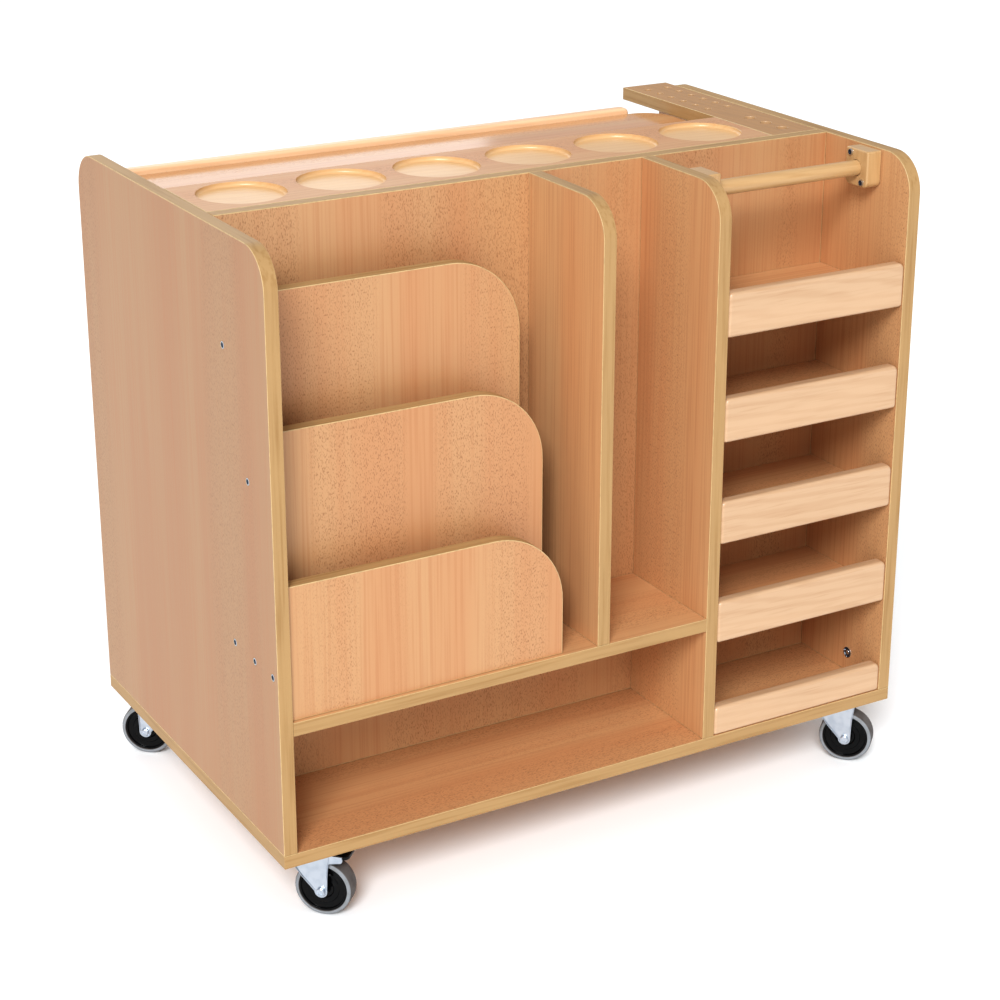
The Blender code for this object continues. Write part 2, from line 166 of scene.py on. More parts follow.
def grain_space(tree, grain, shift, stretch):
    """Object coordinates squeezed along the grain, so that a texture there becomes long streaks."""
    scale = {"x": (stretch, 1, 1), "y": (1, stretch, 1), "z": (1, 1, stretch)}[grain]
    place = node(tree, "TexCoord").outputs["Object"]
    mapping = node(tree, "Mapping", {"Vector": place, "Location": (shift,) * 3, "Scale": scale})
    return mapping.outputs["Vector"]


def noise(tree, vector, scale, detail):
    inputs = {"Vector": vector, "Scale": scale, "Detail": detail}
    return node(tree, "TexNoise", inputs).outputs["Fac"]


def ramp(tree, value, low, high):
    """0 below low and 1 above high, with a smooth step in between."""
    inputs = {"Value": value, "From Min": low, "From Max": high}
    return node(tree, "MapRange", inputs, interpolation_type="SMOOTHSTEP").outputs["Result"]


def times(tree, a, b):
    return node(tree, "Math", {0: a, 1: b}, operation="MULTIPLY").outputs[0]


def blend_colour(tree, amount, first, second):
    """The first colour where amount is 0, and the second where it is 1."""
    mix = tree.nodes.new("ShaderNodeMix")
    mix.data_type = "RGBA"
    for socket, value in ((mix.inputs[0], amount), (mix.inputs[6], first), (mix.inputs[7], second)):
        if isinstance(value, bpy.types.NodeSocket):
            tree.links.new(value, socket)
        else:
            socket.default_value = value if isinstance(value, (int, float)) else (*value, 1)
    return mix.outputs[2]


def new_finish(name, roughness, metallic=0.0):
    """An empty material with its Principled shader ready. Returns (material, tree, shader)."""
    finish = bpy.data.materials.new(name)
    finish.use_nodes = True
    shader = finish.node_tree.nodes["Principled BSDF"]
    shader.inputs["Roughness"].default_value = roughness
    shader.inputs["Metallic"].default_value = metallic
    return finish, finish.node_tree, shader


def bump(tree, shader, height, depth):
    """Raises the surface by depth metres where height is 1."""
    inputs = {"Height": height, "Distance": depth, "Strength": 1.0}
    tree.links.new(node(tree, "Bump", inputs).outputs["Normal"], shader.inputs["Normal"])


print("finish helpers are ready")

# %% [markdown]
# ## Beech laminate
# The boards carry a printed beech pattern. It has broad stripes along the grain.
# Some stripes are plain with fine pink lines, and others are full of short dark flecks.
# Long streaks come from noise that is squeezed along the grain, and the flecks from a finer noise
# that only shows above a limit and only inside the flecked stripes.

# %% Laminate finish
LAMINATE_LIGHT = (0.515, 0.283, 0.136)
LAMINATE_PINK = (0.498, 0.235, 0.106)
LAMINATE_LINE = (0.405, 0.160, 0.064)
LAMINATE_FLECK = (0.210, 0.078, 0.026)


def lighter(colour, amount):
    return tuple(min(1.0, amount * part) for part in colour)


def beech_laminate(name, grain, shift, roughness=0.42, painted_light_scale=1.0):
    finish, tree, shader = new_finish(name, roughness)
    wide = grain_space(tree, grain, shift, 0.05)
    fine = grain_space(tree, grain, shift, 0.012)
    short = grain_space(tree, grain, shift, 0.30)
    stripe = ramp(tree, noise(tree, wide, 9.0, 1.0), 0.45, 0.58)
    tone = ramp(tree, noise(tree, wide, 15.0, 2.0), 0.35, 0.70)
    lines = ramp(tree, noise(tree, fine, 330.0, 3.0), 0.44, 0.68)
    flecks = times(tree, ramp(tree, noise(tree, short, 980.0, 0.0), 0.56, 0.72), stripe)
    plain = node(tree, "Math", {0: 1.0, 1: stripe}, operation="SUBTRACT").outputs[0]
    # painted_light_scale scales the laminate colours: above 1 it is painted light, below 1 painted
    # shade.
    light, pink = lighter(LAMINATE_LIGHT, painted_light_scale), lighter(LAMINATE_PINK, painted_light_scale)
    colour = blend_colour(tree, times(tree, tone, 0.75), light, pink)
    strength = node(tree, "Math", {0: plain, 1: 0.22, 2: 0.16}, operation="MULTIPLY_ADD")
    line_amount = times(tree, lines, strength.outputs[0])
    colour = blend_colour(tree, line_amount, colour, LAMINATE_LINE)
    colour = blend_colour(tree, times(tree, flecks, 0.52), colour, LAMINATE_FLECK)
    tree.links.new(colour, shader.inputs["Base Color"])
    bump(tree, shader, flecks, -0.00004)
    return finish


print("the laminate goes from", LAMINATE_LIGHT, "to", LAMINATE_PINK)

# %% [markdown]
# ## Edge band, arris line and solid wood
# Each board edge has a glued band, more yellow than the faces, with the grain along it. Where the
# band meets the face its thickness shows as a fine cream line. The lips, the bar and its blocks
# are solid pale wood, with curved growth lines under a satin lacquer.

# %% Band and solid wood finishes
BAND_COLOUR = (0.405, 0.248, 0.110)
BAND_DARK = (0.325, 0.185, 0.072)
ARRIS_COLOUR = (0.580, 0.410, 0.205)
SOLID_LIGHT = (0.545, 0.352, 0.212)
SOLID_DARK = (0.415, 0.226, 0.110)
TAN_LIGHT = (0.520, 0.320, 0.150)
TAN_DARK = (0.400, 0.215, 0.080)


def edge_band(name, grain):
    finish, tree, shader = new_finish(name, 0.45)
    shader.inputs["Specular IOR Level"].default_value = 0.25
    streaks = noise(tree, grain_space(tree, grain, 3.0, 0.03), 210.0, 3.0)
    patches = noise(tree, grain_space(tree, grain, 5.0, 0.3), 24.0, 2.0)
    colour = blend_colour(tree, ramp(tree, streaks, 0.42, 0.75), BAND_COLOUR, BAND_DARK)
    pale = lighter(BAND_COLOUR, 1.08)
    colour = blend_colour(tree, times(tree, ramp(tree, patches, 0.4, 0.7), 0.5), colour, pale)
    tree.links.new(colour, shader.inputs["Base Color"])
    bump(tree, shader, streaks, 0.00003)
    return finish


def arris_line(name):
    finish, tree, shader = new_finish(name, 0.38)
    specks = noise(tree, grain_space(tree, "z", 1.0, 0.5), 160.0, 2.0)
    darker = lighter(ARRIS_COLOUR, 0.8)
    colour = blend_colour(tree, ramp(tree, specks, 0.45, 0.7), ARRIS_COLOUR, darker)
    tree.links.new(colour, shader.inputs["Base Color"])
    return finish


def solid_wood(name, grain, shift, light, dark):
    finish, tree, shader = new_finish(name, 0.30)
    long = grain_space(tree, grain, shift, 0.10)
    rings = node(
        tree,
        "TexWave",
        {"Vector": long, "Scale": 42.0, "Distortion": 7.0, "Detail": 2.0, "Detail Scale": 0.9},
        bands_direction="DIAGONAL",
    ).outputs["Fac"]
    pores = noise(tree, grain_space(tree, grain, shift, 0.04), 420.0, 2.0)
    clouds = noise(tree, long, 26.0, 2.0)
    ring_amount = times(tree, ramp(tree, rings, 0.35, 1.0), 0.26)
    colour = blend_colour(tree, ring_amount, light, dark)
    colour = blend_colour(tree, times(tree, ramp(tree, pores, 0.48, 0.75), 0.34), colour, dark)
    pale = lighter(light, 1.08)
    colour = blend_colour(tree, times(tree, ramp(tree, clouds, 0.45, 0.7), 0.5), colour, pale)
    tree.links.new(colour, shader.inputs["Base Color"])
    bump(tree, shader, pores, -0.00004)
    return finish


BANDS = [edge_band("edge_band_" + along, along) for along in "xyz"]
ARRIS = arris_line("arris_line")
print("band, arris and solid wood finishes are ready")

# %% [markdown]
# ## Working in edit mode from code
# By hand one would click on faces and edges. In code each is chosen by its place or its normal.
# Everything is deselected first, because an operator acts on all that is selected.


# %% Helpers for modelling
UPRIGHT = (0, 0, 0)
ALONG_X = (0, math.radians(90), 0)
ALONG_Y = (math.radians(90), 0, 0)
SHARP_EDGE = math.radians(40)
SMOOTH_EDGE = math.radians(35)


def start(name, add, **how):
    """Adds one primitive with nothing else selected, and puts its place into its mesh."""
    bpy.ops.object.select_all(action="DESELECT")
    size = how.pop("scale", None)
    add(**how)
    made = bpy.context.object
    made.name = made.data.name = name
    if size:
        made.scale = size
    bpy.ops.object.transform_apply(location=True, rotation=True, scale=True)
    return made


def start_box(name, low, high):
    low, high = Vector(low), Vector(high)
    add = bpy.ops.mesh.primitive_cube_add
    return start(name, add, size=1, location=(low + high) / 2, scale=tuple(high - low))


def start_rod(name, radius, length, centre, turn, sides):
    add = bpy.ops.mesh.primitive_cylinder_add
    how = {"vertices": sides, "radius": radius, "depth": length}
    return start(name, add, location=centre, rotation=turn, **how)


def pick(obj, kind, test):
    """Enters edit mode and selects only the faces, edges or vertices that pass the test."""
    bpy.context.view_layer.objects.active = obj
    bpy.ops.object.mode_set(mode="EDIT")
    bpy.ops.mesh.select_mode(type=kind)
    bpy.ops.mesh.select_all(action="DESELECT")
    mesh = bmesh.from_edit_mesh(obj.data)
    mesh.normal_update()
    found = {"FACE": mesh.faces, "EDGE": mesh.edges, "VERT": mesh.verts}[kind]
    for element in [e for e in found if test(e)]:
        element.select_set(True)
    mesh.select_flush_mode()
    bmesh.update_edit_mesh(obj.data)


def leave():
    bpy.ops.object.mode_set(mode="OBJECT")


def facing(axis, sign=0):
    """A test for flat faces whose normal lies along an axis, on one side of it or on both."""
    number = "xyz".index(axis)

    def test(face):
        along = face.normal[number]
        return abs(along) > 0.99 and (sign == 0 or along * sign > 0)

    return test


def edge_on(axis, **places):
    """A test for edges that run along an axis at the given coordinates."""
    number = "xyz".index(axis)

    def test(edge):
        run = edge.verts[1].co - edge.verts[0].co
        if abs(run[number]) < 0.9 * run.length:
            return False
        ends = [abs(v.co["xyz".index(a)] - at) for v in edge.verts for a, at in places.items()]
        return max(ends) < 1e-4

    return test


def select_only(objects):
    """Selects these objects and nothing else, and makes the first of them the active one."""
    bpy.ops.object.select_all(action="DESELECT")
    for obj in objects:
        obj.select_set(True)
    bpy.context.view_layer.objects.active = objects[0]


def join(name, parts):
    select_only(parts)
    if len(parts) > 1:
        bpy.ops.object.join()
    parts[0].name = parts[0].data.name = name
    return parts[0]


def apply_bevel(obj, width, segments=3):
    """Rounds every sharp edge with a Bevel modifier, and applies it."""
    bevel = obj.modifiers.new("Rounding", "BEVEL")
    bevel.width = width
    bevel.segments = segments
    bevel.limit_method = "ANGLE"
    bevel.angle_limit = SHARP_EDGE
    bpy.context.view_layer.objects.active = obj
    bpy.ops.object.modifier_apply(modifier=bevel.name)


def cut_away(obj, cutters):
    """Cuts the joined cutters out of obj. The new walls take the cutters' materials."""
    cutter = join("cutter", cutters)
    boolean = obj.modifiers.new("Cut", "BOOLEAN")
    boolean.operation = "DIFFERENCE"
    boolean.solver = "EXACT"
    boolean.material_mode = "TRANSFER"
    boolean.object = cutter
    bpy.context.view_layer.objects.active = obj
    bpy.ops.object.modifier_apply(modifier=boolean.name)
    bpy.data.objects.remove(cutter, do_unlink=True)


def smooth_by_angle(obj):
    """Smooth shading whose normals follow the large flat faces, so that those stay flat."""
    select_only([obj])
    bpy.ops.object.shade_smooth_by_angle(angle=SMOOTH_EDGE)
    weighted = obj.modifiers.new("Flat faces", "WEIGHTED_NORMAL")
    weighted.weight = 100
    weighted.keep_sharp = True
    bpy.ops.object.modifier_apply(modifier=weighted.name)


def paint(obj, finishes, rule=lambda face: 0):
    """Gives obj its finishes, and each face the number of the finish that the rule names."""
    obj.data.materials.clear()
    for finish in finishes:
        obj.data.materials.append(finish)
    for face in obj.data.polygons:
        face.material_index = rule(face)


def hand_over(obj, body, slot, *nodes):
    """The finished piece rides on its CAD body and stands for its CAD nodes."""
    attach(obj, body)
    if nodes:
        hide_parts(*nodes)
    print(obj.name, "has", len(obj.data.polygons), "faces")


print("modelling helpers are ready")

# %% [markdown]
# ## The boards
# A board is a box with its corners rounded, where it has any, by a bevel of the corner's edges.
# Its two broad faces are inset by the thickness of the edge band, which leaves a fine ring.
# The ring takes the cream of the arris, the faces inside it the laminate, and the rest the band.

# %% Board maker
BAND_THICKNESS = 0.0011
ARRIS_ROUND = 0.0008
CART = "cart_body"


def make_board(node_name, thin, grain, corners, shift, painted_light_scale=1.0):
    """A banded board in place of a CAD node. thin is the axis across its thickness.
    Each corner is (radius, axis along its edge, the places of that edge)."""
    low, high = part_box(node_name)
    board = start_box(node_name + "_wood", low, high)
    for radius, along, places in corners:
        pick(board, "EDGE", edge_on(along, **places))
        bpy.ops.mesh.bevel(offset=radius, segments=16, affect="EDGES")
    pick(board, "FACE", facing(thin))
    bpy.ops.mesh.inset(thickness=BAND_THICKNESS, use_even_offset=True)
    leave()
    axis = "xyz".index(thin)
    across = Vector([float(i == axis) for i in range(3)])
    broad = max(f.area for f in board.data.polygons if abs(f.normal[axis]) > 0.99)

    def finish_of(face):
        """0 for a broad face, 1 for its ring, and 2 to 4 for a band, by the way that it runs."""
        if abs(face.normal[axis]) < 0.99:
            run = face.normal.cross(across)
            return 2 + max(range(3), key=lambda i: abs(run[i]))
        return 0 if face.area > 0.5 * broad else 1

    # painted_light_scale passes this board's painted light and painted shade on to its laminate.
    laminate = beech_laminate(node_name + "_laminate", grain, shift, painted_light_scale=painted_light_scale)
    paint(board, [laminate, ARRIS, *BANDS], finish_of)
    apply_bevel(board, ARRIS_ROUND)
    smooth_by_angle(board)
    return board


def add_board(node_name, *how):
    """A board that needs no more work once it is made."""
    hand_over(make_board(node_name, *how), CART, "beech_laminate", node_name)


print("each arris ring is", BAND_THICKNESS * 1000, "mm wide")

# %% [markdown]
# ## Case boards
# The side panels have both top corners rounded, and the two dividers only the front one.
# The grain runs up on every upright board and along on every level one.
# Each board has its own shift in the pattern, so that no two look alike. The left side's laminate
# is painted darker, as painted shade, and most boards inside are painted lighter, as painted light.

# %% Case
PANEL_CORNER = 0.050
# Painted shade for the left side, and painted light for the boards inside.
OUTER_PAINTED_SHADE, INNER_PAINTED_LIGHT = 0.77, 1.12
side_low, side_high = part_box("left_side_panel")
top = side_high.z
both_corners = [(PANEL_CORNER, "x", {"y": y, "z": top}) for y in (side_low.y, side_high.y)]
front_corner = both_corners[:1]

left_side = make_board("left_side_panel", "x", "z", both_corners, 0.31, OUTER_PAINTED_SHADE)
add_board("right_side_panel", "x", "z", both_corners, 1.70, INNER_PAINTED_LIGHT)
add_board("book_divider", "x", "z", front_corner, 2.37, INNER_PAINTED_LIGHT)
add_board("tray_divider", "x", "z", front_corner, 3.12, INNER_PAINTED_LIGHT)
add_board("mid_back_panel", "y", "z", (), 4.4)
tray_shelves = [f"tray_shelf_{number}" for number in range(1, 5)]
for number, name in enumerate(["base_panel", "book_shelf", "rear_shelf", *tray_shelves]):
    add_board(name, "z", "x", (), 5.0 + 0.77 * number, INNER_PAINTED_LIGHT)
add_board("rear_divider", "x", "z", (), 7.9)

# %% [markdown]
# ## Book panels
# The three book panels stand one behind another. Each has one large round corner, so that
# small hands can pull a book out past it.

# %% Book panels
BOOK_PANEL_CORNER = 0.100
for number, name in enumerate(("front", "middle", "rear")):
    panel = "display_panel_" + name
    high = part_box(panel)[1]
    corner = [(BOOK_PANEL_CORNER, "y", {"x": high.x, "z": high.z})]
    add_board(panel, "y", "z", corner, 8.3 + 0.9 * number)

# %% [markdown]
# ## Screws
# A screw head is a short rod with a rounded rim. Its cross recess starts as an inset of the top,
# pushed in and painted near black as painted shade, because very little light gets into it.
# One head is modelled, and each screw is a copy of its mesh, turned to its own face.

# %% Zinc and painted recess shade finishes
ZINC_LIGHT, ZINC_DARK = (0.60, 0.65, 0.72), (0.48, 0.54, 0.62)
RECESS_SHADE_DEEP, RECESS_SHADE_DUSTY = (0.020, 0.032, 0.055), (0.060, 0.080, 0.110)


def zinc_plate(name):
    finish, tree, shader = new_finish(name, 0.28, 1.0)
    clouds = noise(tree, grain_space(tree, "z", 0.0, 1.0), 60.0, 3.0)
    colour = blend_colour(tree, ramp(tree, clouds, 0.35, 0.7), ZINC_LIGHT, ZINC_DARK)
    tree.links.new(colour, shader.inputs["Base Color"])
    scratches = noise(tree, grain_space(tree, "z", 2.0, 0.2), 600.0, 2.0)
    bump(tree, shader, scratches, 0.00002)
    return finish


# Near-black painted shade for the inside of a recess, with a faint dusty mottle.
def painted_recess_shade(name):
    finish, tree, shader = new_finish(name, 0.5, 0.6)
    dust = noise(tree, grain_space(tree, "z", 0.0, 1.0), 900.0, 2.0)
    colour = blend_colour(tree, ramp(tree, dust, 0.4, 0.7), RECESS_SHADE_DEEP, RECESS_SHADE_DUSTY)
    tree.links.new(colour, shader.inputs["Base Color"])
    return finish


ZINC_FINISH = zinc_plate("bright_zinc")
RECESS_SHADE_FINISH = painted_recess_shade("screw_recess_shade")
print("zinc finishes are ready")


# %% Screw heads
def make_screw(node_name, axis, sign):
    """A screw head in place of its CAD node, with its top towards one side of an axis."""
    low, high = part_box(node_name)
    centre, size = (low + high) / 2, high - low
    number = "xyz".index(axis)
    radius = max(size[i] for i in range(3) if i != number) / 2
    turn = {"x": ALONG_X, "y": ALONG_Y}[axis]
    head = start_rod(node_name + "_head", radius, size[number], centre, turn, 24)
    pick(head, "FACE", facing(axis, sign))
    bpy.ops.mesh.inset(thickness=radius * 0.22, depth=0.0002)
    bpy.ops.mesh.inset(thickness=radius * 0.26)
    bpy.ops.mesh.inset(thickness=radius * 0.06, depth=-0.0008)
    leave()

    def finish_of(face):
        """The painted recess shade goes on whatever lies near the axis and looks towards the head's
        top.
        """
        from_axis = face.center - centre
        from_axis[number] = 0
        return int(from_axis.length < radius * 0.80 and face.normal[number] * sign > -0.1)

    paint(head, [ZINC_FINISH, RECESS_SHADE_FINISH], finish_of)
    smooth_by_angle(head)
    hand_over(head, CART, "zinc", node_name)


side_screws = sorted(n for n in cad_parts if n.startswith("side_screw_"))
for name in side_screws:
    make_screw(name, "x", -1)
for name in sorted(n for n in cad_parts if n.startswith("bracket_screw_")):
    make_screw(name, "x", 1 if "left" in name else -1)

# %% [markdown]
# ## Pockets in the left side
# Each screw through the left side sits in a small round pocket, cut from the finished board.

# %% Left side panel with its pockets
POCKET_RADIUS, POCKET_DEPTH = 0.0050, 0.0018
cutters = []
for name in side_screws:
    low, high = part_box(name)
    centre = Vector((side_low.x, (low.y + high.y) / 2, (low.z + high.z) / 2))
    cutter = start_rod(name + "_pocket", POCKET_RADIUS, 2 * POCKET_DEPTH, centre, ALONG_X, 32)
    paint(cutter, [ARRIS])
    cutters.append(cutter)
cut_away(left_side, cutters)
hand_over(left_side, CART, "beech_laminate", "left_side_panel")

# %% [markdown]
# ## Lips
# Each tray has a solid wood lip. Its top edges are well rounded, as a router leaves them,
# and so are its top corners at both ends.

# %% Lips
LIP_CORNER = 0.008
LIP_ROUND = 0.0045


def make_lip(node_name, shift, painted_light_scale=1.0):
    low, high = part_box(node_name)
    lip = start_box(node_name + "_wood", low, high)
    for x in (low.x, high.x):
        pick(lip, "EDGE", edge_on("y", x=x, z=high.z))
        bpy.ops.mesh.bevel(offset=LIP_CORNER, segments=6, affect="EDGES")
    leave()
    # painted_light_scale makes the lip's wood colours lighter, as painted light.
    light, dark = lighter(SOLID_LIGHT, painted_light_scale), lighter(SOLID_DARK, painted_light_scale)
    paint(lip, [solid_wood(node_name + "_grain", "x", shift, light, dark)])
    apply_bevel(lip, LIP_ROUND, 4)
    smooth_by_angle(lip)
    hand_over(lip, CART, "solid_beech", node_name)


tray_lips = [f"tray_lip_{number}" for number in range(1, 5)]
for number, name in enumerate(["base_lip", *tray_lips]):
    make_lip(name, 1.0 + 1.37 * number)
# The rear lip's wood is painted 1.45 times lighter, as painted light.
make_lip("rear_lip", 7.85, 1.45)

# %% [markdown]
# ## Paper-roll bar
# The bar is a dowel with softened ends that turns in two blocks. Each block has a round seat,
# cut with a rod, and its two lower corners are well rounded.

# %% Bar and blocks
DOWEL_ROUND = 0.0015
BLOCK_CORNER, BLOCK_ROUND = 0.009, 0.0025
SEAT_DEPTH, SEAT_GAP = 0.0121, 0.0006
bar_low, bar_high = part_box("roll_bar")
bar_centre = (bar_low + bar_high) / 2
bar_radius = (bar_high.z - bar_low.z) / 2
bar_length = bar_high.x - bar_low.x
bar = start_rod("roll_bar_dowel", bar_radius, bar_length, bar_centre, ALONG_X, 48)
paint(bar, [solid_wood("dowel_grain", "x", 12.4, TAN_LIGHT, TAN_DARK)])
apply_bevel(bar, DOWEL_ROUND)
smooth_by_angle(bar)
hand_over(bar, "paper_roll_bar", "solid_beech", "roll_bar")

for side, sign in (("left", 1), ("right", -1)):
    name = "roll_bracket_" + side
    low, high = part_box(name)
    block = start_box(name + "_wood", low, high)
    for y in (low.y, high.y):
        pick(block, "EDGE", edge_on("x", y=y, z=low.z))
        bpy.ops.mesh.bevel(offset=BLOCK_CORNER, segments=6, affect="EDGES")
    leave()
    seat_x = high.x if sign > 0 else low.x
    paint(block, [solid_wood(name + "_grain", "z", 15.0 + sign, TAN_LIGHT, TAN_DARK)])
    apply_bevel(block, BLOCK_ROUND)
    seat_centre = (seat_x, bar_centre.y, bar_centre.z)
    seat_radius = bar_radius + SEAT_GAP
    seat = start_rod(name + "_seat", seat_radius, 2 * SEAT_DEPTH, seat_centre, ALONG_X, 48)
    paint(seat, [solid_wood(name + "_seat_grain", "z", 17.0 + sign, TAN_LIGHT, TAN_DARK)])
    cut_away(block, [seat])
    smooth_by_angle(block)
    hand_over(block, CART, "solid_beech", name)

# %% [markdown]
# ## Board with pot recesses
# Six shallow round recesses hold paint pots. They are cut by short rods whose lower rim is rounded,
# because a router bit leaves a cove there. The cut wood is paler and yellower than the laminate.

# %% Recess finish and the board
RECESS_LIGHT = (0.660, 0.410, 0.200)
RECESS_DARK = (0.560, 0.300, 0.130)
POT_COUNT = 6
POT_FIRST_X = -0.377
POT_PITCH = 0.1359
POT_Y = -0.029
POT_RADIUS = 0.0566
POT_DEPTH = 0.006
POT_COVE = 0.004
CUTTER_ABOVE = 0.010
# The cup board's laminate is painted 1.1 times lighter, as painted light.
pot_board = make_board("cup_board", "z", "x", (), 13.3, 1.1)
routed = solid_wood("routed_recess", "x", 21.0, RECESS_LIGHT, RECESS_DARK)
cutters = []
for number in range(POT_COUNT):
    x = POT_FIRST_X + number * POT_PITCH
    centre = (x, POT_Y, top + CUTTER_ABOVE - POT_DEPTH / 2)
    length = 2 * CUTTER_ABOVE + POT_DEPTH
    cutter = start_rod(f"pot_{number}", POT_RADIUS, length, centre, UPRIGHT, 96)
    pick(cutter, "FACE", facing("z", -1))
    bpy.ops.mesh.bevel(offset=POT_COVE, segments=5, affect="EDGES")
    leave()
    paint(cutter, [routed])
    cutters.append(cutter)
cut_away(pot_board, cutters)
smooth_by_angle(pot_board)
hand_over(pot_board, CART, "beech_laminate", "cup_board")

# %% [markdown]
# ## Perforated tool block
# The block stands on the cart's back right. Twelve small holes take thin tools and three larger
# ones take brushes. Each cutter is a rod whose top flares a little, so it leaves a small chamfer
# at the rim.

# %% Tool block
TOOL_LIGHT = (0.420, 0.200, 0.052)
TOOL_DARK = (0.300, 0.138, 0.036)
DRILLED_LIGHT, DRILLED_DARK = (0.500, 0.310, 0.165), (0.400, 0.220, 0.100)
TOOL_ROWS_X = (0.3965, 0.4310)
TOOL_FIRST_Y, TOOL_PITCH, TOOL_HOLES = 0.0885, 0.0307, 6
TOOL_RADIUS = 0.005
BRUSH_X, BRUSH_Y = 0.414, (-0.064, -0.027, 0.010)
BRUSH_RADIUS = 0.008
HOLE_DEPTH, HOLE_ABOVE = 0.013, 0.004
CHAMFER = 0.0009


def hole_cutter(name, x, y, radius, finish):
    """A rod that reaches HOLE_DEPTH below the top and flares where it leaves the wood."""
    length = HOLE_DEPTH - CHAMFER
    centre = (x, y, top - HOLE_DEPTH + length / 2)
    cutter = start_rod(name, radius, length, centre, UPRIGHT, 32)
    pick(cutter, "FACE", facing("z", 1))
    grow = (radius + CHAMFER) / radius
    bpy.ops.mesh.extrude_region_move(TRANSFORM_OT_translate={"value": (0, 0, CHAMFER)})
    bpy.ops.transform.resize(value=(grow, grow, 1), center_override=(x, y, top))
    bpy.ops.mesh.extrude_region_move(TRANSFORM_OT_translate={"value": (0, 0, HOLE_ABOVE)})
    leave()
    paint(cutter, [finish])
    return cutter


tool_block = make_board("tool_block", "z", "y", (), 15.1)
tool_block.data.materials[0] = solid_wood("tool_block_top", "y", 31.0, TOOL_LIGHT, TOOL_DARK)
drilled = solid_wood("drilled_wood", "z", 33.0, DRILLED_LIGHT, DRILLED_DARK)
tool_rows_y = [TOOL_FIRST_Y + i * TOOL_PITCH for i in range(TOOL_HOLES)]
holes = [(x, y, TOOL_RADIUS) for x in TOOL_ROWS_X for y in tool_rows_y]
holes += [(BRUSH_X, y, BRUSH_RADIUS) for y in BRUSH_Y]
cut_away(tool_block, [hole_cutter(f"hole_{i}", *hole, drilled) for i, hole in enumerate(holes)])
smooth_by_angle(tool_block)
hand_over(tool_block, CART, "tool_wood", "tool_block")

# %% [markdown]
# ## Lower board behind the recesses
# This board is glossier than the rest and mirrors the pale lip behind it. Its back corner is round
# where it meets the tool block.

# %% Rear top board
REAR_CORNER = 0.045
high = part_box("rear_top_board")[1]
corner = [(REAR_CORNER, "z", {"x": high.x, "y": high.y})]
rear_top = make_board("rear_top_board", "z", "x", corner, 16.6)
# The glossy laminate is painted 1.15 times lighter, as painted light.
rear_top.data.materials[0] = beech_laminate("glossy_laminate", "x", 16.6, 0.12, 1.15)
hand_over(rear_top, CART, "beech_laminate", "rear_top_board")

# %% [markdown]
# ## Finishes for the casters
# The wheels have a glossy black hub and a soft grey tyre. The tread is darker and browner than the
# tyre's sides, because it picks up dust from the floor.

# %% Rubber and plastic finishes
BLACK, BLACK_DUST = (0.002, 0.002, 0.0022), (0.005, 0.005, 0.0054)


def grey_rubber(name, clean, dusty, roughness):
    finish, tree, shader = new_finish(name, roughness)
    dust = noise(tree, grain_space(tree, "z", 0.0, 1.0), 90.0, 4.0)
    colour = blend_colour(tree, ramp(tree, dust, 0.40, 0.70), clean, dusty)
    tree.links.new(colour, shader.inputs["Base Color"])
    grit = noise(tree, grain_space(tree, "z", 1.0, 1.0), 1400.0, 2.0)
    bump(tree, shader, grit, 0.00005)
    return finish


def black_plastic(name, roughness):
    finish, tree, shader = new_finish(name, roughness)
    shader.inputs["Specular IOR Level"].default_value = 0.18
    dust = noise(tree, grain_space(tree, "z", 0.0, 1.0), 120.0, 3.0)
    colour = blend_colour(tree, ramp(tree, dust, 0.5, 0.8), BLACK, BLACK_DUST)
    tree.links.new(colour, shader.inputs["Base Color"])
    orange_peel = noise(tree, grain_space(tree, "z", 1.0, 1.0), 500.0, 1.0)
    bump(tree, shader, orange_peel, 0.00002)
    return finish


TYRE_SIDE = grey_rubber("tyre_side", (0.225, 0.235, 0.250), (0.190, 0.195, 0.200), 0.60)
TYRE_TREAD = grey_rubber("tyre_tread", (0.120, 0.105, 0.098), (0.085, 0.072, 0.066), 0.75)
HUB_BLACK = black_plastic("glossy_black_hub", 0.16)
LEVER_BLACK = black_plastic("black_lever", 0.35)
print("caster finishes are ready")

# %% [markdown]
# ## One caster, modelled once
# All casters are alike, so each piece is modelled once at the origin, with the wheel trailing
# towards +X, and then copied. The sizes below are those of the CAD caster.

# %% Caster sizes
TRAIL = 0.020
WHEEL_RADIUS = 0.0375
WHEEL_HALF = 0.013
HUB_RADIUS = 0.0315
FORK_HALF = 0.020
SHEET = 0.0025
FORK_TOP = 0.0927
CAP_RADIUS = 0.028
CAP_DEPTH = 0.008
wheel_centre = Vector((TRAIL, 0, WHEEL_RADIUS))
print("the wheel is", 2000 * WHEEL_RADIUS, "mm across")

# %% [markdown]
# ### Hub and tyre
# The hub is a short rod. Insets with a depth turn each of its sides into rings: a lip, a dish and
# a boss. Each ring is its width and how far it is raised. The tyre is a wider rod, rounded at the
# shoulders, with both sides opened and the two holes bridged.


# %% Hub and tyre
HUB_LIP = ((0.0022, 0.0), (0.0008, -0.0022))
HUB_DISH = ((0.0070, -0.0006), (0.0010, 0.0012), (0.0060, 0.0), (0.0014, -0.0016))
HUB_BOSS = ((0.0035, 0.0), (0.0008, 0.0030))
TYRE_SHOULDER, TYRE_LIP = 0.0036, 0.0008


def make_rings(rings):
    """Insets the selected faces once for each (width, depth)."""
    for width, depth in rings:
        bpy.ops.mesh.inset(thickness=width, depth=depth)


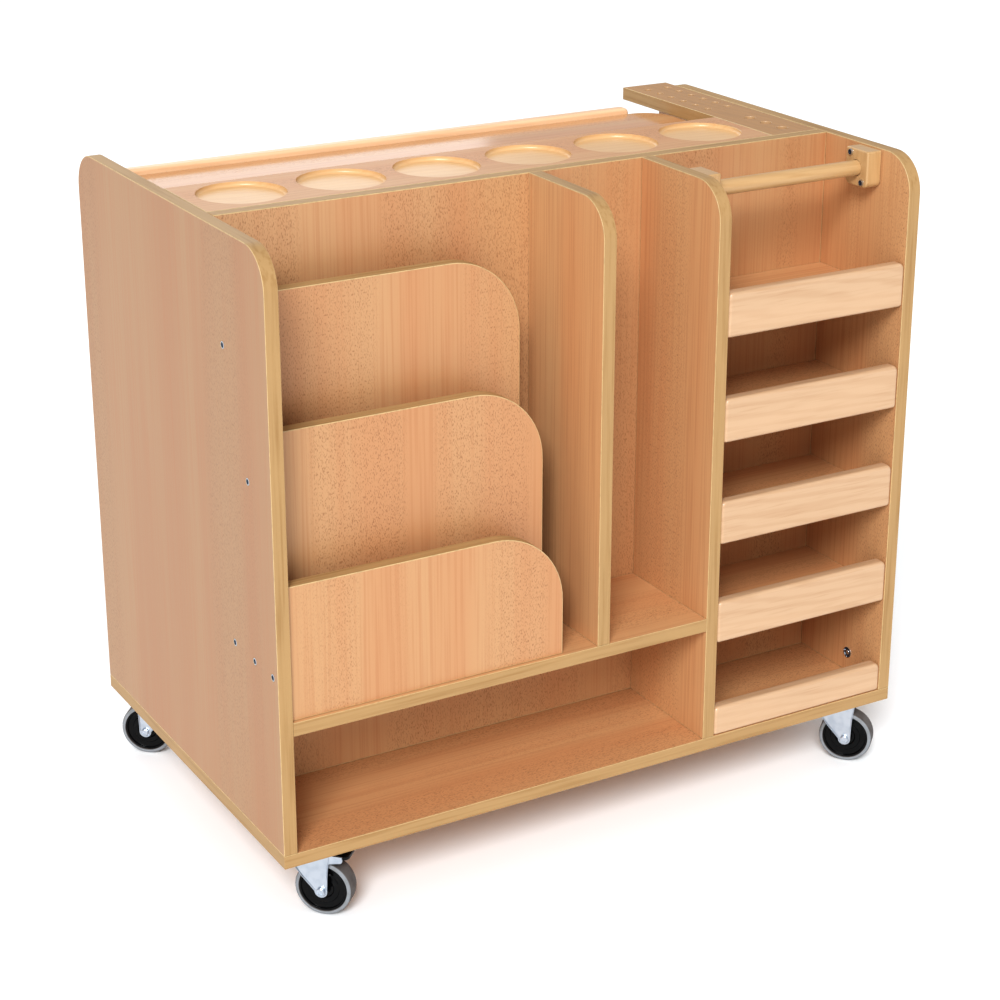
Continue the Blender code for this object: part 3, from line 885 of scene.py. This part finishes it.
def make_hub():
    hub = start_rod("hub_master", HUB_RADIUS, 2 * WHEEL_HALF - 0.002, wheel_centre, ALONG_Y, 64)
    for sign in (-1, 1):
        pick(hub, "FACE", facing("y", sign))
        make_rings(HUB_LIP + HUB_DISH + HUB_BOSS)
    leave()
    paint(hub, [HUB_BLACK])
    apply_bevel(hub, 0.00035, 2)
    smooth_by_angle(hub)
    return hub


def make_tyre():
    tyre = start_rod("tyre_master", WHEEL_RADIUS, 2 * WHEEL_HALF, wheel_centre, ALONG_Y, 64)
    pick(tyre, "EDGE", lambda e: all(abs(abs(v.co.y) - WHEEL_HALF) < 1e-5 for v in e.verts))
    bpy.ops.mesh.bevel(offset=TYRE_SHOULDER, segments=5, affect="EDGES")
    pick(tyre, "FACE", facing("y"))
    make_rings(((WHEEL_RADIUS - TYRE_SHOULDER - HUB_RADIUS - TYRE_LIP, 0), (0.0005, -0.0010)))
    bpy.ops.mesh.bridge_edge_loops()
    leave()
    paint(tyre, [TYRE_SIDE, TYRE_TREAD], lambda f: int(abs(f.normal.y) < 0.55))
    smooth_by_angle(tyre)
    return tyre


hub_master, tyre_master = make_hub(), make_tyre()
print("hub and tyre:", len(hub_master.data.polygons), len(tyre_master.data.polygons), "faces")

# %% [markdown]
# ### Fork
# Each leg starts as a thin disc round the axle. The upper half of its rim is extruded up three
# times, and is flattened and widened each time, so that its leading edge bulges like that of a
# pressed leg. An inset rim catches the light. A braked fork has an ear on each leg, which gets
# deeper towards it.


# %% Fork
FOOT_RADIUS = 0.0085
LEG_LEVELS = (
    (0.056, -0.0050, 0.0290),
    (0.072, -0.0165, 0.0300),
    (FORK_TOP - CAP_DEPTH * 0.5, -0.0240, 0.0325),
)
EAR_START, EAR_END, EAR_HEIGHT = 0.028, 0.049, 0.009
EAR_CORNER, EAR_SLOPE = 0.003, 0.0035
CAP_RINGS = ((0.006, 0), (0.002, 0.002), (0.012, 0), (0.001, 0.003))


def make_leg(side):
    """A leg through the levels above: each is (height, leading edge, trailing edge)."""
    y = side * (FORK_HALF - SHEET / 2)
    leg = start_rod("leg", FOOT_RADIUS, SHEET, (TRAIL, y, WHEEL_RADIUS), ALONG_Y, 32)
    pick(leg, "FACE", lambda f: abs(f.normal.y) < 0.5 and f.normal.z > 0.05)
    before = (TRAIL - FOOT_RADIUS, TRAIL + FOOT_RADIUS)
    for height, lead, trail in LEG_LEVELS:
        bpy.ops.mesh.extrude_region_move(TRANSFORM_OT_translate={"value": (0, 0, 0.02)})
        middle = (before[0] + before[1]) / 2
        bpy.ops.transform.resize(value=(1, 1, 0), center_override=(middle, y, height))
        wide = (trail - lead) / (before[1] - before[0])
        bpy.ops.transform.resize(value=(wide, 1, 1), center_override=(middle, y, height))
        bpy.ops.transform.translate(value=((lead + trail) / 2 - middle, 0, 0))
        before = (lead, trail)
    pick(leg, "FACE", facing("y", side))
    bpy.ops.mesh.inset(thickness=0.0014, depth=0, use_even_offset=False)
    bpy.ops.mesh.inset(thickness=0.0006, depth=-0.0006, use_even_offset=False)
    leave()
    return leg


def make_fork(name, braked):
    cap_centre = (0, 0, FORK_TOP - CAP_DEPTH / 2)
    cap = start_rod("cap", CAP_RADIUS, CAP_DEPTH, cap_centre, UPRIGHT, 64)
    pick(cap, "FACE", facing("z", -1))
    make_rings(CAP_RINGS)
    leave()
    parts = [cap]
    for side in (-1, 1):
        parts.append(make_leg(side))
        if braked:
            y = side * FORK_HALF - (SHEET if side > 0 else 0)
            bottom = FORK_TOP - SHEET - EAR_HEIGHT
            high = (EAR_END, y + SHEET, FORK_TOP - SHEET)
            ear = start_box("ear", (EAR_START, y, bottom), high)
            pick(ear, "EDGE", edge_on("y", x=EAR_END, z=bottom))
            bpy.ops.mesh.bevel(offset=EAR_CORNER, segments=6, affect="EDGES")
            pick(ear, "EDGE", edge_on("y", x=EAR_START, z=bottom))
            bpy.ops.transform.translate(value=(0, 0, -EAR_SLOPE))
            leave()
            parts.append(ear)
    fork = join(name, parts)
    paint(fork, [ZINC_FINISH])
    apply_bevel(fork, 0.0006, 2)
    smooth_by_angle(fork)
    return fork


fork_masters = {braked: make_fork(f"fork_master_{braked}", braked) for braked in (False, True)}
print("forks:", [len(f.data.polygons) for f in fork_masters.values()], "faces")

# %% [markdown]
# ### Axle, plate and lever
# The axle is a bolt: a rod with a domed head outside each leg. The plate has rounded corners and
# four screws. The brake lever is a pad with a rounded end and ridges, so that a shoe doesn't slip
# off it.


# %% Axle, plate and brake lever
BOLT_RADIUS, BOLT_HEAD_RADIUS, BOLT_HEAD_HEIGHT = 0.004, 0.0056, 0.0035
BOLT_HEAD_OUT = FORK_HALF + 0.00205
PLATE_CORNER, PLATE_SCREW_AT, PLATE_SCREW_RADIUS = 0.006, 0.023, 0.004
LEVER_LOW, LEVER_HIGH = Vector((0.0288, -0.0169, 0.08455)), Vector((0.056, 0.0169, 0.08905))
LEVER_CORNER = 0.0084
RIDGE_FIRST, RIDGE_PITCH, RIDGE_HALF, RIDGE_MARGIN = 0.006, 0.004, 0.0006, 0.005


def make_axle():
    parts = [start_rod("shank", BOLT_RADIUS, 2 * FORK_HALF, wheel_centre, ALONG_Y, 32)]
    for side, sides in ((-1, 32), (1, 6)):
        centre = wheel_centre + Vector((0, side * BOLT_HEAD_OUT, 0))
        head = start_rod("bolt_head", BOLT_HEAD_RADIUS, BOLT_HEAD_HEIGHT, centre, ALONG_Y, sides)
        pick(head, "FACE", facing("y", side))
        bpy.ops.mesh.bevel(offset=0.0009, segments=3, affect="EDGES")
        pick(head, "FACE", facing("y", side))
        make_rings(((0.0016, 0), (0.0004, -0.0007)))
        leave()
        parts.append(head)
    axle = join("axle_master", parts)
    paint(axle, [ZINC_FINISH])
    smooth_by_angle(axle)
    return axle


def make_plate(low, high):
    plate = start_box("plate_master", low, high)
    for x in (low.x, high.x):
        for y in (low.y, high.y):
            pick(plate, "EDGE", edge_on("z", x=x, y=y))
            bpy.ops.mesh.bevel(offset=PLATE_CORNER, segments=6, affect="EDGES")
    leave()
    parts = [plate]
    for x in (-PLATE_SCREW_AT, PLATE_SCREW_AT):
        for y in (-PLATE_SCREW_AT, PLATE_SCREW_AT):
            centre = (x, y, low.z - 0.0006)
            head = start_rod("plate_screw", PLATE_SCREW_RADIUS, 0.0016, centre, UPRIGHT, 20)
            pick(head, "FACE", facing("z", -1))
            make_rings(((0.0022, 0), (0.0003, -0.0008)))
            leave()
            parts.append(head)
    made = join("plate_master", parts)
    paint(made, [ZINC_FINISH])
    apply_bevel(made, 0.0003, 2)
    smooth_by_angle(made)
    return made


def make_lever(low, high):
    lever = start_box("lever_master", low, high)
    for y in (low.y, high.y):
        pick(lever, "EDGE", edge_on("z", x=high.x, y=y))
        bpy.ops.mesh.bevel(offset=LEVER_CORNER, segments=8, affect="EDGES")
    pick(lever, "FACE", facing("z", 1))
    make_rings(((0.0018, 0), (0.0006, -0.0006)))
    leave()
    parts = [lever]
    for step in range(3):
        x = high.x - RIDGE_FIRST - RIDGE_PITCH * step
        ridge_low = (x - RIDGE_HALF, low.y + RIDGE_MARGIN, high.z - 0.0012)
        ridge_high = (x + RIDGE_HALF, high.y - RIDGE_MARGIN, high.z - 0.0002)
        parts.append(start_box("ridge", ridge_low, ridge_high))
    made = join("lever_master", parts)
    paint(made, [LEVER_BLACK])
    apply_bevel(made, 0.0006, 2)
    smooth_by_angle(made)
    return made


axle_master = make_axle()
plate_low, plate_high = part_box("caster_front_left_plate")
plate_middle = (plate_low + plate_high) / 2
offset = Vector((plate_middle.x, plate_middle.y, 0))
plate_master = make_plate(plate_low - offset, plate_high - offset)
lever_master = make_lever(LEVER_LOW, LEVER_HIGH)
print("axle, plate and lever are ready")

# %% [markdown]
# ### Four casters
# Each copy is turned to its caster's heading, moved below its corner and applied, so that its
# place is in its mesh. The wheel, the fork and the lever ride on different bodies, because each
# turns by itself.

# %% Place the casters
HEADINGS = {"front_left": 315, "front_right": 313, "rear_left": 140, "rear_right": 215}


def place_copy(master, name, place, heading):
    made = master.copy()
    made.data = master.data.copy()
    bpy.context.scene.collection.objects.link(made)
    made.name = made.data.name = name
    made.location = (place.x, place.y, 0)
    made.rotation_euler = (0, 0, heading)
    select_only([made])
    bpy.ops.object.transform_apply(location=True, rotation=True, scale=True)
    return made


for corner_name, degrees in HEADINGS.items():
    caster = "caster_" + corner_name
    low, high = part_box(caster + "_plate")
    place, heading = (low + high) / 2, math.radians(degrees)
    lever_node = caster + "_brake"
    braked = lever_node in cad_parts
    swivel, wheel = caster + "_swivel", caster + "_wheel"
    plate = place_copy(plate_master, caster + "_plate_zinc", place, 0)
    hand_over(plate, CART, "zinc", caster + "_plate")
    for master, part, look, body, slot in (
        (fork_masters[braked], "_fork", "_zinc", swivel, "zinc"),
        (axle_master, "_axle", "_bolt", swivel, "zinc"),
        (hub_master, "_hub", "_black", wheel, "black_plastic"),
        (tyre_master, "_tyre", "_grey", wheel, "grey_rubber"),
    ):
        made = place_copy(master, caster + part + look, place, heading)
        hand_over(made, body, slot, caster + part)
    if braked:
        lever = place_copy(lever_master, caster + "_brake_lever", place, heading)
        hand_over(lever, caster + "_brake_lever", "black_plastic", lever_node)
masters = [hub_master, tyre_master, axle_master, plate_master, lever_master]
for master in [*masters, *fork_masters.values()]:
    bpy.data.objects.remove(master, do_unlink=True)

# %% [markdown]
# ## Connector
# The base is held to the right side by a metal fitting. Only its round end shows, in the lowest
# tray.

# %% Connector
CONNECTOR_RADIUS, CONNECTOR_LENGTH, CONNECTOR_OUT = 0.0078, 0.0016, 0.0004
CONNECTOR_RINGS = ((0.0012, 0.0), (0.0004, -0.0011), (0.0026, 0.0), (0.0004, 0.0005))
CAM_RADIUS = 0.0034
fitting_middle = Vector((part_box("right_side_panel")[0].x, -0.2225, 0.1435))
fitting_centre = fitting_middle - Vector((CONNECTOR_OUT, 0, 0))
how = (CONNECTOR_RADIUS, CONNECTOR_LENGTH, fitting_centre, ALONG_X, 32)
fitting = start_rod("base_connector", *how)
pick(fitting, "FACE", facing("x", -1))
make_rings(CONNECTOR_RINGS)
leave()


def fitting_finish(face):
    """Painted shade all round the small bright cam in the middle."""
    from_axis = (face.center - fitting_middle).yz.length
    return int(from_axis > CAM_RADIUS and face.normal.x < -0.5)


# The faces round the cam take the painted recess shade, for the dark inside of the fitting's hole.
paint(fitting, [ZINC_FINISH, RECESS_SHADE_FINISH], fitting_finish)
smooth_by_angle(fitting)
hand_over(fitting, CART, "zinc")
